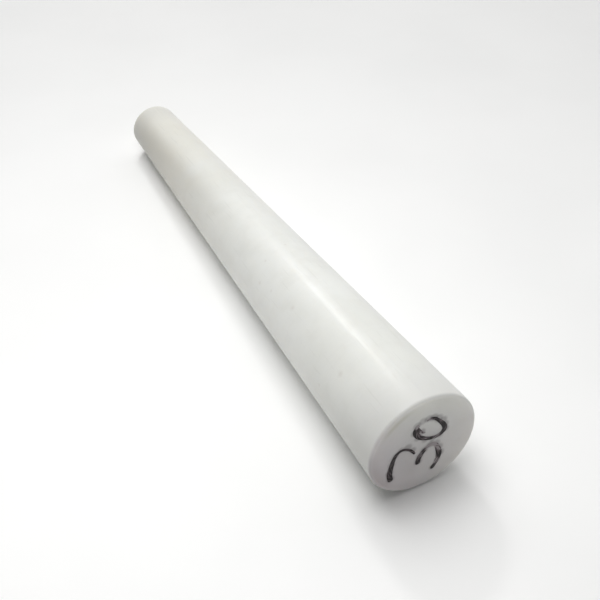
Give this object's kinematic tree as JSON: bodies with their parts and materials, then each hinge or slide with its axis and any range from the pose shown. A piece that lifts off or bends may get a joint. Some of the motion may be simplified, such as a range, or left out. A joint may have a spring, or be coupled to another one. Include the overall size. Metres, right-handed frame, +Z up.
{
  "type": "tapered rod",
  "caption": "Solid white plastic rod turned in one straight taper, with two flat blunt ends and its size hand inked on the wide end.",
  "frame": {"origin": "on the lowest line of the lying rod, where a cradle holds it; also the middle of the bottom of its box", "axes": "+Z up; +Y along the rod, from the wide end at -Y to the narrow end at +Y; +X across it, with X = 0 the plane of symmetry. The rod lies on its side, with the lowest line of its taper on z = 0."},
  "size_m": [0.03, 0.1758, 0.0299],
  "materials": {
    "white_plastic": "natural white acetal, turned, satin",
    "marker_ink": "black permanent marker, uneven and dry"
  },
  "bodies": {
    "root": {"tapered_body": "white_plastic", "ink_digit_three": "marker_ink", "ink_digit_zero": "marker_ink"}
  },
  "joints": []
}
